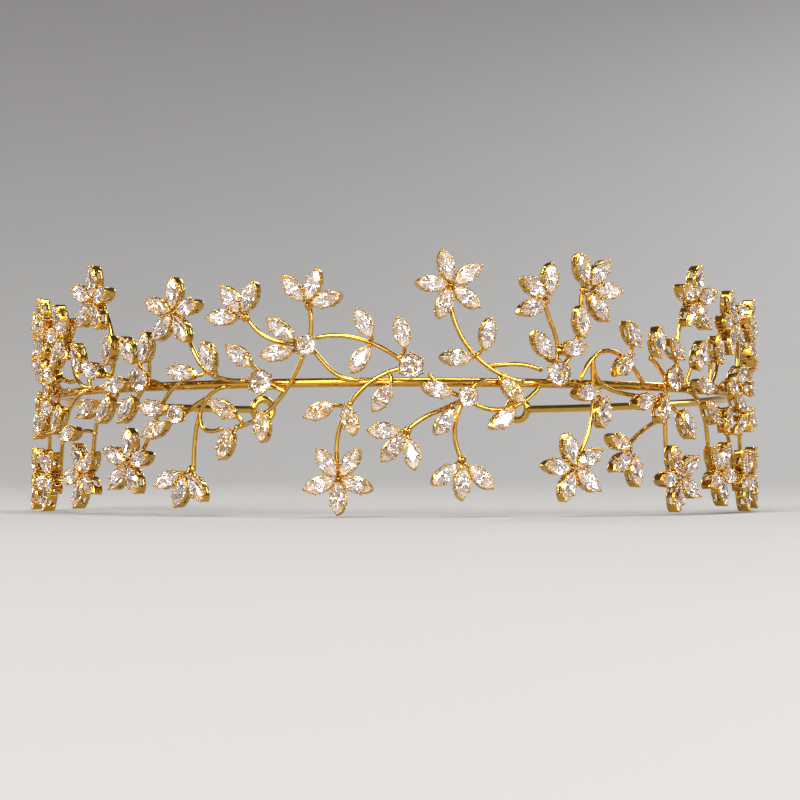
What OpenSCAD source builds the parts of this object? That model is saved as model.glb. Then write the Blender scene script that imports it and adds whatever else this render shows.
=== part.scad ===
// Crystal tiara: a round open headband wire with an eyelet at each end, and sprays of fine wire in front
// of it that carry pointed-oval and round stones in open metal settings.
// Every place on the ornament is given as an arc position along the band (mm from the front centre,
// positive to the right as seen from the front) and a height over the band's centre line.

/* [Band] */
// Radius of the band wire's centre line
band_radius = 75; // [68:0.5:84]
// Diameter of the band wire
band_wire = 1.8; // [1.4:0.1:2.2]
// Opening at the back, in degrees
band_open = 54; // [40:1:70]
// Centre-line diameter of the end eyelets
eye_ring = 5.2; // [4.6:0.1:6.4]

/* [Vine] */
// Diameter of the vine wires
vine_wire = 0.9; // [0.7:0.05:1]
// Clearance between a vine wire and the band
vine_gap = 0.12; // [0.1:0.01:0.2]

/* [Pointed-oval stones] */
// Length of a stone
stone_l = 6; // [5.6:0.1:6.2]
// Width of a stone
stone_w = 3; // [2.6:0.1:3.1]
// Height of the crown over the girdle
crown_h = 0.55; // [0.4:0.05:0.7]
// Depth of the pavilion under the girdle
pavilion_h = 1.25; // [1:0.05:1.3]

/* [Round stones] */
// Diameter of the large round stones
round_big = 4.4; // [4:0.1:4.6]
// Diameter of the small round stones
round_small = 3.3; // [3:0.1:3.6]

/* [Settings] */
// Wall between a stone and the outside of its setting
wall = 0.32; // [0.28:0.01:0.36]
// Clearance round a stone
stone_gap = 0.09; // [0.08:0.01:0.12]
// Depth of a setting from its back to its claws
setting_h = 2.95; // [2.9:0.05:3.2]
// Outward tip of the leaves and petals, in degrees
cup = 6; // [0:1:10]

/* [Rest] */
// Forward-up tilt of the band as the tiara rests, in degrees
rest_tilt = 0.96; // [-12:0.01:12]
// Sideways tilt as it rests, in degrees
rest_roll = -0.1; // [-6:0.01:6]
// Height of the band's centre over the floor
rest_height = 25.12; // [20:0.01:34]
// Shift from the band's centre to the middle of the whole outline, to the back
rest_back = 5.55; // [-8:0.01:8]

/* [Hidden] */
// Named columns of the tables below
FLOWERS = 1;
LEAVES = 2;
ROUNDS = 3;
STEMS = 4;

// Distances outside the band's centre line of the vine wires' middles and of the settings' backs
wire_out = band_wire / 2 + vine_gap + vine_wire / 2;
setting_out = wire_out + vine_wire / 2 + 0.1;

// Shares of a wall or clearance that fall across and along a pointed oval, whose sides lie aslant
across_share = 0.82;
along_share = 1.65;
leaf_l = stone_l + 2 * (wall + stone_gap);
leaf_w = stone_w + 2 * (wall + stone_gap) * across_share;

// Heights in a setting: the girdle of its stone, the seat under it, and the rim over it
claw_rise = 0.1;
girdle_z = setting_h - crown_h - claw_rise;
seat_z = girdle_z - 0.36;
rim_z = girdle_z + 0.34;
// Share of a stone's width that is open under its seat
open_back = 0.86;
// Share of a stone's width that its table takes
table = 0.55;
// Width and thickness of a round setting's claws
claw_w = 0.7;
claw_t = 0.6;
// Diameters of the post behind a leaf and of the hub between a flower's petals
leaf_post = 0.8;
hub_d = 1.1;
// Depth by which soldered pieces of a setting run into each other
lap = 0.06;

// Each spray: name, flowers, leaves, round stones, stems.
// A flower: [arc position, height, petals, angle of the first petal, angle between petals].
// A leaf: [arc position of its base, height of its base, pointing angle].
// A round stone: [arc position, height, diameter].
// A stem: the guide points of its curve, each [arc position, height]. A branch has the fraction of the
// spray's first stem at which it leaves in place of its first guide point.
SPRAYS = [
    ["left_end",
     [[-113.5, 12, 5, 96, 72], [-108.8, -17.6, 5, -82, 72]],
     [[-116.7, -0.5, 172], [-105, -3.4, -70], [-115.9, -3.2, -140]],
     [[-114.4, -1.2, round_small]],
     [[[-97, -0.3], [-104, -0.6], [-109.2, -6], [-108.8, -17.6]],
      [0.2, [-105, 1.6], [-113, 2], [-113.5, 12]],
      [0.3, [-106, -0.8], [-110, -1.6], [-114.4, -1.2]]]],
    ["left_rear",
     [[-97.2, 13.5, 5, 90, 72]],
     [[-96.9, 2.4, 92], [-101.6, 3.4, 130], [-95.5, -3.2, -112]],
     [[-92.8, 0.9, round_small]],
     [[[-85, 0.4], [-93, 0.2], [-97.4, 2], [-97.2, 13.5]],
      [0.5, [-97, 1], [-100, 1.4], [-101.6, 3.4]],
      [0.28, [-91.6, -1.6], [-94, -1.8], [-95.5, -3.2]]]],
    ["left_back_low",
     [[-90.6, -18, 5, -96, 72]],
     [[-83.4, -2.9, 250], [-87.2, -3.4, 178]],
     [],
     [[[-76, -0.3], [-83, -1], [-90, -6], [-90.6, -18]]]],
    ["left_back_high",
     [[-83.2, 11.4, 5, 100, 72]],
     [[-74.6, 3.4, 96], [-86.6, 2.6, 158]],
     [],
     [[[-72.4, 0.4], [-80, 0.6], [-83, 3], [-83.2, 11.4]],
      [0.1, [-74, 1], [-74.6, 2], [-74.6, 3.4]],
      [0.45, [-83, 2], [-85, 2], [-86.6, 2.6]]]],
    ["left_hanging",
     [[-72.6, -17.6, 5, 40, 72]],
     [[-63.2, -1.6, 242], [-68.2, -2.4, 212], [-75.4, -8.4, 190]],
     [],
     [[[-60.6, -0.4], [-68, 0.2], [-73, -4], [-72.6, -17.6]]]],
    ["left_high",
     [[-69, 18.2, 5, 84, 72]],
     [[-64.4, 4.6, 70], [-66.2, 2.6, 158]],
     [],
     [[[-69.6, 0.45], [-64.4, 0.6], [-62.6, 8], [-69, 18.2]],
      [0.2, [-66, 1.2], [-66.2, 1.8], [-66.2, 2.6]]]],
    ["left_side",
     [[-57.4, -15.4, 5, 84, 72]],
     [[-56, 4.6, 118], [-53.4, 4.6, 78], [-57.8, 0.9, 188], [-56.2, -1.9, -122]],
     [[-54.4, 1.3, round_big]],
     [[[-46, 0.3], [-50, -1], [-52, -8], [-57.4, -15.4]],
      [0.2, [-50, 0], [-52, 1], [-54.4, 1.3]]]],
    ["left_drop",
     [[-42.4, -16.8, 3, -155, 50]],
     [[-47.4, -5, 172], [-47.2, -7.4, 206]],
     [[-45, -5.8, round_small]],
     [[[-35.4, -0.6], [-40.4, -1.2], [-42.6, -8], [-42.4, -16.8]],
      [0.3, [-42, -3.6], [-43, -5], [-45, -5.8]],
      [0.5, [-41.4, -9.4], [-38.6, -9.8], [-36, -8.8]]]],
    ["front_left_flower",
     [[-45.6, 14.4, 5, 86, 72]],
     [[-36.9, 2.2, 104], [-40.6, 1.7, 168]],
     [],
     [[[-31, 0.55], [-40, 0.6], [-42, 4], [-45.6, 14.4]]]],
    ["front_left_trefoils",
     [[-30.4, 13, 3, 66, 57], [-17.6, 15, 3, 14, 57]],
     [[-20.2, 8.4, 142], [-20.4, 6, 186]],
     [[-17.7, 7.1, round_small]],
     [[[-30.4, 13], [-27, 8], [-24, 8], [-17.7, 7.1]],
      [[-17.6, 15], [-17, 12], [-17.4, 9], [-17.7, 7.1]],
      [[-17.7, 7.1], [-15, 4.6], [-13.4, 0.5], [-8.4, 0.4]]]],
    ["front_left_low",
     [],
     [[-28.7, 3.2, 138], [-31.8, -6.8, 146], [-32.8, -9, 252], [-26.6, -5.4, -84]],
     [[-26.6, 0.1, round_big]],
     [[[-18.9, 5.2], [-22, -2.4], [-26, -7.2], [-32.6, -8.6]],
      [0.35, [-23.6, -1.4], [-25, -0.6], [-26.6, 0.1]]]],
    ["front_vine",
     [[-11.6, -18.9, 5, 54, 72]],
     [[-5.4, 8.6, 118], [-5.9, 7, 238], [-12.4, -4.4, 204], [-10.2, -4.4, -76], [0.9, 6.4, 104], [-1.8, -0.6, 236]],
     [[1.9, 2.9, round_big]],
     [[[1.9, 2.9], [-8, 2], [-14.6, -8], [-11.6, -18.9]],
      [[-16, 8.8], [-12, 9.6], [-6, 9.4], [1.9, 2.9]]]],
    ["front_low",
     [[1.2, -9.6, 3, 180, 50], [11.6, -15.2, 3, -142, 48]],
     [[9.6, -2.4, 166], [10, -5.4, 232], [21.6, -5.4, 216]],
     [[12.5, -3, round_small]],
     [[[12.5, -3], [9, -5.6], [5, -5.6], [1.2, -9.6]],
      [[12.5, -3], [9.6, -8], [10, -11], [11.6, -15.2]],
      [[5.6, 1.4], [6.6, -0.4], [9, -2.2], [12.5, -3]],
      [[12.5, -3], [14.4, -0.8], [14.6, 0.2], [16.2, 0.3]],
      [[12.5, -3], [17, -7], [23.4, -5.8], [27.4, -0.8]]]],
    ["front_top",
     [[9.4, 18.8, 5, 105, 72]],
     [[15.7, 6.2, 80], [13.2, 4.6, 180], [19, 0.8, -50]],
     [],
     [[[9.4, 18.8], [9, 9], [16, 1.2], [24, 0.3]],
      [0.66, [18, 2.6], [22, 4.8], [27.8, 2.6]]]],
    ["front_right_high",
     [[28.6, 16.2, 3, 89, 56], [37, 18.6, 4, -58, 56]],
     [[35.9, 9, 99], [36.5, 7.4, 190], [28.6, 4.8, 124]],
     [[30.5, 1.8, round_big]],
     [[[37, 18.6], [36.4, 14], [37.4, 6], [30.5, 1.8]],
      [[28.6, 16.2], [30, 10], [33, 9], [30.5, 1.8]],
      [[30.5, 1.8], [33, 0.3], [33.6, 0.3], [35, 0.2]]]],
    ["front_right_vine",
     [[33.6, -16.8, 5, 104, 72]],
     [[49.2, 7.6, 128], [47.6, 6, 222], [39.4, -1.4, 188], [41, -2.6, 256], [53.2, -2.4, 196]],
     [],
     [[[36.6, 0.8], [40, 8.6], [46, 9], [52.4, 0.6]],
      [0.25, [38.8, 1], [42, -9], [33.6, -16.8]],
      [0.25, [39.4, -2], [46, -1.4], [53.2, -2.4]]]],
    ["right_side",
     [[47.6, -13, 3, 160, 56], [60.4, -18.6, 5, -104, 72]],
     [[54.8, 5.6, 98], [62, -4.6, -70], [56.8, -1.8, 246]],
     [[59.4, 1.7, round_big]],
     [[[59.4, 1.7], [59.4, -5], [58.4, -12], [60.4, -18.6]],
      [0.4, [56, -7], [51, -9], [47.6, -13]],
      [[59.4, 1.7], [57.4, 4], [56, 5], [54.8, 5.6]]]],
    ["right_high",
     [[66.6, 18, 5, 88, 72]],
     [[67.2, 3.6, 76], [66.4, 1.2, -14], [61.8, 5.6, 142]],
     [],
     [[[66.2, 0.5], [62, 0.6], [61.8, 10], [66.6, 18]]]],
    ["right_back_low",
     [[75.8, -17.2, 5, 62, 72], [91.6, -18.2, 5, -90, 72]],
     [[70.6, -2.6, -48], [85, -9.2, 40], [81, -3.4, -120]],
     [],
     [[[66.8, -0.6], [72, -1.2], [76.4, -6], [75.8, -17.2]],
      [0.4, [79, -4], [90, -6], [91.6, -18.2]]]],
    ["right_back_high",
     [[82.6, 14.2, 5, 108, 72]],
     [[77, 5.4, 118], [85, 2.4, 26], [84.9, -0.3, -38]],
     [[83, 1, round_small]],
     [[[73.4, 0.4], [79, 0.4], [82, 5], [82.6, 14.2]],
      [0.2, [76.6, 2], [77.4, 4], [77, 5.4]],
      [0.3, [79.4, 0.4], [81, 0.8], [83, 1]]]],
    ["right_end",
     [[99.4, 13.4, 5, 84, 72], [107.6, -17.8, 5, -76, 72], [114.6, 6.6, 4, -8, 60]],
     [[98.2, -3, -124], [104.8, -3.2, -30]],
     [[103.6, 1.4, round_small]],
     [[[92.6, 0.3], [98, 0.8], [99.4, 4], [99.4, 13.4]],
      [0.12, [100, -1.6], [107, -6], [107.6, -17.8]],
      [0.35, [103, 2.4], [108, -1], [114.6, 6.6]]]]
];

ROUND_LIST = [for (spray = SPRAYS) for (stone = spray[ROUNDS]) stone];

// Place in space of an arc position, a height and a distance outside the band's centre line
function place(s, h, out) =
    let (a = s / band_radius * 180 / PI) [(band_radius + out) * sin(a), -(band_radius + out) * cos(a), h];

// Curve through its guide points by repeated halving between them
function curve(points, t) =
    len(points) == 1 ? points[0]
    : curve([for (i = [0:len(points) - 2]) points[i] * (1 - t) + points[i + 1] * t], t);

// Guide points of one stem, with a branch's first point found on the spray's first stem
function guides(stems, points) =
    is_num(points[0])
    ? concat([curve(stems[0], points[0])], [for (i = [1:len(points) - 1]) points[i]])
    : points;

function unit(v) = v / norm(v);

// Outline of a pointed oval with eight corners
function oval(l, w) = [
    [l / 2, 0], [l / 4, w * 0.375], [0, w / 2], [-l / 4, w * 0.375],
    [-l / 2, 0], [-l / 4, -w * 0.375], [0, -w / 2], [l / 4, -w * 0.375]
];

function round_outline(d, n) = [for (i = [0:n - 1]) [cos(i * 360 / n), sin(i * 360 / n)] * d / 2];

// Stands its children on the band's front: x along the band, y up, z outwards
module on_band(s, h, out) {
    rotate([0, 0, s / band_radius * 180 / PI]) translate([0, -(band_radius + out), h]) rotate([90, 0, 0]) children();
}

// The pose at rest on a level floor
module rest() {
    translate([0, rest_back, rest_height]) rotate([-rest_tilt, rest_roll, 0]) children();
}

// Cut stone: table, crown facets, sharp girdle and pavilion facets that meet in one point
module cut_stone(outline) {
    n = len(outline);
    top = [for (p = outline) [p[0] * table, p[1] * table, girdle_z + crown_h]];
    girdle = [for (p = outline) [p[0], p[1], girdle_z]];
    color([0.93, 0.91, 0.95]) polyhedron(
        points = concat(top, girdle, [[0, 0, girdle_z - pavilion_h]]),
        faces = concat(
            [[for (i = [n - 1:-1:0]) i]],
            [for (i = [0:n - 1]) [i, (i + 1) % n, n + (i + 1) % n, n + i]],
            [for (i = [0:n - 1]) [n + i, n + (i + 1) % n, 2 * n]]
        )
    );
}

module pointed_stone() {
    cut_stone(oval(stone_l, stone_w));
}

// Open setting of a pointed-oval stone: gallery wall, seat, pocket and a claw over each tip
module pointed_setting() {
    pocket_l = stone_l + 2 * stone_gap * along_share;
    pocket_w = stone_w + 2 * stone_gap / across_share;
    claw_root = leaf_l * 0.4;
    claw_half = leaf_w * 0.15;
    linear_extrude(seat_z) difference() {
        polygon(oval(leaf_l, leaf_w));
        polygon(oval(stone_l * open_back, stone_w * open_back));
    }
    translate([0, 0, seat_z - lap]) linear_extrude(rim_z - seat_z + lap) difference() {
        polygon(oval(leaf_l, leaf_w));
        polygon(oval(pocket_l, pocket_w));
    }
    for (side = [0, 180]) rotate([0, 0, side]) translate([0, 0, rim_z - lap])
        linear_extrude(setting_h - rim_z + lap)
            polygon([[leaf_l / 2, 0], [claw_root, claw_half], [claw_root, -claw_half]]);
}

// Cup of a round stone: wall, seat, pocket and four claws
module round_setting(d) {
    outer = d + 2 * (wall + stone_gap);
    difference() {
        cylinder(d = outer, h = rim_z, $fn = 40);
        translate([0, 0, -1]) cylinder(d = d * open_back, h = rim_z + 2, $fn = 40);
        translate([0, 0, seat_z]) cylinder(d = d + 2 * stone_gap, h = rim_z, $fn = 40);
    }
    for (turn = [45:90:315]) rotate([0, 0, turn])
        translate([outer / 2 - lap - claw_t, -claw_w / 2, rim_z - lap])
            cube([claw_t, claw_w, setting_h - rim_z + lap]);
}

// One petal or leaf setting that points along x from its base
module leaf_at(angle, reach) {
    rotate([0, 0, angle]) rotate([0, -cup, 0]) translate([reach + leaf_l / 2, 0, 0]) children();
}

// Distance of the petals' inner tips from the flower's middle, so that neighbours stay clear
function petal_reach(step) = max(0.7, leaf_w * 0.4 / tan(step / 2) - leaf_l / 4);

// Soldered joint from the wires behind a setting up into it
module post(x, d, top) {
    back = setting_out - wire_out + vine_wire / 4;
    translate([x, 0, -back]) cylinder(d = d, h = top + back, $fn = 20);
}

module leaf_metal(leaf) {
    on_band(leaf[0], leaf[1], setting_out) {
        leaf_at(leaf[2], 0) pointed_setting();
        rotate([0, 0, leaf[2]]) post(leaf_post / 3, leaf_post, leaf_post);
    }
}

module flower_metal(flower) {
    reach = petal_reach(flower[4]);
    on_band(flower[0], flower[1], setting_out) {
        for (i = [0:flower[2] - 1]) leaf_at(flower[3] + i * flower[4], reach) pointed_setting();
        post(0, 2 * reach + leaf_post, setting_h / 2);
        post(0, hub_d, setting_h - 0.4);
    }
}

module flower_stones(flower) {
    on_band(flower[0], flower[1], setting_out)
        for (i = [0:flower[2] - 1]) leaf_at(flower[3] + i * flower[4], petal_reach(flower[4])) pointed_stone();
}

// Wire that follows a curve on the band's front, with a five-sided section
module stem(points, steps) {
    line = [for (i = [0:steps]) let (p = curve(points, i / steps)) place(p[0], p[1], wire_out)];
    n = len(line);
    sides = 5;
    rings = [for (i = [0:n - 1])
        let (
            along = unit(line[min(i + 1, n - 1)] - line[max(i - 1, 0)]),
            out = unit([line[i][0], line[i][1], 0]),
            across = unit(cross(along, out)),
            face = cross(across, along)
        )
        for (k = [0:sides - 1]) line[i] + (across * cos(k * 72) + face * sin(k * 72)) * vine_wire / 2
    ];
    polyhedron(
        points = rings,
        faces = concat(
            [[for (k = [sides - 1:-1:0]) k]],
            [[for (k = [0:sides - 1]) (n - 1) * sides + k]],
            [for (i = [0:n - 2]) for (k = [0:sides - 1])
                [i * sides + k, (i + 1) * sides + (k + 1) % sides, (i + 1) * sides + k]],
            [for (i = [0:n - 2]) for (k = [0:sides - 1])
                [i * sides + k, i * sides + (k + 1) % sides, (i + 1) * sides + (k + 1) % sides]]
        )
    );
}

// Short straight wire between two places
module twig(from, to) {
    v = to - from;
    translate(from) rotate([0, acos(v[2] / norm(v)), atan2(v[1], v[0])])
        cylinder(d = vine_wire, h = norm(v), $fn = 6);
}

// Twig from a base to the nearest stem or round setting, where the base doesn't lie on one
module tie(s, h, spray) {
    from = place(s, h, wire_out);
    marks = concat(
        [for (points = spray[STEMS]) for (t = [0:0.05:1])
            let (p = curve(guides(spray[STEMS], points), t)) place(p[0], p[1], wire_out)],
        [for (stone = spray[ROUNDS]) place(stone[0], stone[1], wire_out)]
    );
    gaps = [for (m = marks) norm(m - from)];
    near = [for (i = [0:len(gaps) - 1]) if (gaps[i] == min(gaps)) marks[i]][0];
    if (min(gaps) > 0.35) twig(from, near);
}

module band() {
    color([0.86, 0.66, 0.28]) {
        end = 180 - band_open / 2;
        rotate([0, 0, band_open / 2 + 90]) rotate_extrude(angle = 360 - band_open, $fn = 96)
            translate([band_radius, 0]) circle(d = band_wire, $fn = 24);
        for (side = [-1, 1]) rotate([0, 0, side * end]) translate([side * eye_ring / 2, -band_radius, 0])
            rotate([90, 0, 0]) rotate_extrude($fn = 48) translate([eye_ring / 2, 0]) circle(d = band_wire, $fn = 24);
    }
}

module spray_metal(spray) {
    color([0.9, 0.7, 0.3]) union() {
        for (points = spray[STEMS]) stem(guides(spray[STEMS], points), 6);
        for (flower = spray[FLOWERS]) {
            flower_metal(flower);
            tie(flower[0], flower[1], spray);
        }
        for (leaf = spray[LEAVES]) {
            leaf_metal(leaf);
            tie(leaf[0], leaf[1], spray);
        }
        for (stone = spray[ROUNDS]) {
            on_band(stone[0], stone[1], setting_out) round_setting(stone[2]);
            on_band(stone[0], stone[1], setting_out) post(0, stone[2] * open_back + wall, wall);
        }
    }
}

module spray_stones(spray) {
    for (flower = spray[FLOWERS]) flower_stones(flower);
    for (leaf = spray[LEAVES]) on_band(leaf[0], leaf[1], setting_out) leaf_at(leaf[2], 0) pointed_stone();
}

module round_stone(stone) {
    on_band(stone[0], stone[1], setting_out) cut_stone(round_outline(stone[2], 10));
}

rest() band();
for (spray = SPRAYS) {
    rest() spray_metal(spray);
    rest() spray_stones(spray);
}
for (i = [1:len(ROUND_LIST)])
    rest() round_stone(ROUND_LIST[i - 1]);
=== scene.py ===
"""Crystal tiara: the visible goldwork, crystals and studio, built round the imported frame."""

import math
import random

import bpy
import numpy as np
from bpy.props import FloatProperty, FloatVectorProperty, PointerProperty
from mathutils import Matrix, Vector


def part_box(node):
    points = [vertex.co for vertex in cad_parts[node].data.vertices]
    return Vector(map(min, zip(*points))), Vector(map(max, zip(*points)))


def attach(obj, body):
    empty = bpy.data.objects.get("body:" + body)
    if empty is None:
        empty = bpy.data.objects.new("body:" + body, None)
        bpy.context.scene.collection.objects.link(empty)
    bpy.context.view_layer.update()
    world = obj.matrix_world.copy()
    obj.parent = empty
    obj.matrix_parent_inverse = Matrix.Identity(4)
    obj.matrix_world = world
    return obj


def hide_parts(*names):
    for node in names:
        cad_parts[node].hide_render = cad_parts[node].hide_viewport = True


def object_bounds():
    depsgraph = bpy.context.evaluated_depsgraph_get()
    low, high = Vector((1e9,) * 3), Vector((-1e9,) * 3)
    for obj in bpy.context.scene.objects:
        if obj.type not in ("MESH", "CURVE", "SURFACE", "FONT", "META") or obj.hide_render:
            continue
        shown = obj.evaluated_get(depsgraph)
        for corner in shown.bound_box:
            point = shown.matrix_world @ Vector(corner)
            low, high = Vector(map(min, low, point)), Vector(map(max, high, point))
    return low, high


bl_info = {
    "name": "Crystal tiara",
    "version": (1, 0, 0),
    "blender": (4, 5, 0),
    "location": "3D View > Sidebar > Tiara",
    "description": "Goldwork, cut crystals and a plain studio for a headband tiara",
    "category": "Object",
}

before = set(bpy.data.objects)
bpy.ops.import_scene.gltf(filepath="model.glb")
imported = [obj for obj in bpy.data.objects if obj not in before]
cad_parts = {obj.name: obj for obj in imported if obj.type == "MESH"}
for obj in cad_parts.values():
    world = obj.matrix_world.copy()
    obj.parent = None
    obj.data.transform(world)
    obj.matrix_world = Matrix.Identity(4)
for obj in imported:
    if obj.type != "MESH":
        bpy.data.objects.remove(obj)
frame_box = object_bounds()

MM = 0.001
BODY = "root"

# Farthest that a side of a piece's box may lie from the box of the nodes that it replaces
STRAY = 1.2 * MM

# Outline of the setting of a pointed-oval stone
SETTING_LENGTH = 6.82 * MM
SETTING_WIDTH = 3.67 * MM

# About the half width of a setting at a quarter of its length from a tip, as a share of its width
SHOULDER = 0.4

# Hoops of a pointed-oval setting's rail: shares of its length and width, and height over the girdle
# in millimetres
POINTED_RAIL = [(1, 1, -0.05), (1, 1, -0.3), (0.97, 0.95, -0.5), (0.84, 0.78, -0.45), (0.9, 0.87, -0.16)]

# Hoops of its back ring: shares of its length and width, and height over its back in millimetres
POINTED_BACK = [(0.88, 0.86, 0.5), (0.9, 0.89, 0.3), (0.88, 0.86, 0.06), (0.7, 0.56, 0.1), (0.7, 0.56, 0.46)]

# The same for a round stone's cup, with one share for its diameter
ROUND_RAIL = [(1, -0.06), (1.01, -0.25), (0.96, -0.5), (0.8, -0.46), (0.9, -0.14)]
ROUND_BACK = [(0.6, 0.55), (0.66, 0.3), (0.6, 0), (0.42, 0.05), (0.42, 0.5)]

# Number of outer hoops, which come first in the four lists above
OUTER_HOOPS = 3

# Drop of a setting's seat under the girdle
SEAT_DROP = 0.5 * MM

# How pointed a back ring and the foot of a wall are, where 1 is pointed and 0.5 is rounded
BLUNT = 0.62

# Share of its full size that a wall has at its foot
FOOT = 0.93

# Edges of the walls, as shares of the way from a setting's middle to its tip: at the foot and the head,
# and at mid height, where the windows between the walls are widest
TIP_EDGE = (0.46, 0.66)
SIDE_EDGE = (0.36, 0.14)

# Claws and grains along a long side, as shares of the way from a setting's middle to its tip
CLAW_SPOTS = (0.38, -0.38)
GRAIN_SPOTS = (0.74, -0.74)

# Bent claw of a round stone: share of its reach, height in millimetres (the last three over the girdle)
# and thickness as a share of a bead
ROUND_CLAW_FOOT = [(0.56, 0.25, 1.5), (0.8, 1.0, 1.3)]
ROUND_CLAW_HEAD = [(0.95, -0.5, 1.15), (1, 0, 1.05), (0.93, 0.3, 0.95)]

# Broken facets of a stone: shares of its width, and shares of the crown's height or the pavilion's depth
KITE_HEIGHT = 0.62
BELT_SHARE, BELT_DEPTH = 0.6, 0.5
KEEL_SHARE, KEEL_DEPTH = 0.34, 0.72

# Depth of a round stone's pavilion as a share of its diameter
ROUND_DEPTH = 0.42

# Marks per metre of the clouds, streaks and fine marks on gold, the smears on crystal and the paper's fibres
CLOUDS, STREAKS, FINE_MARKS, SMEARS, FIBRES = 260, 3800, 9000, 1500, 12

# How strongly a crystal bends light
CRYSTAL_IOR = 2.1

# Number of reflections inside a crystal after which its facet gives off a painted glow, in place of black
LAST_REFLECTION = 3.5

# Place in metres that the lights face
LIT_PLACE = (0, 0, 0.03)

# Lights: name, place in metres, width and height, power in watts and tint
LIGHTS = [
    ("key_light", (-0.75, -1.65, 1.03), (1.05, 0.75), 45, (1, 0.98, 0.95)),
    ("fill_light", (1.35, -1.5, 0.66), (0.75, 1.05), 22.5, (1, 1, 1)),
    ("front_light", (-0.2, -1.83, 0.5), (0.5, 0.4), 4.4, (1, 1, 1)),
    ("top_light", (0.15, -0.15, 2.2), (1.2, 0.75), 27, (1, 1, 1)),
    ("back_light", (1.05, 1.95, 1.18), (0.75, 0.75), 18, (0.96, 0.98, 1)),
    ("rear_light", (-1.65, 1.35, 0.88), (0.6, 1.0), 13.5, (1, 1, 1)),
]

# Diameters of the round stones in millimetres
BIG = 4.4
SMALL = 3.3

# Columns of the table of sprays
NAME, FLOWERS, LEAVES, ROUNDS, STEMS = range(5)

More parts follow.
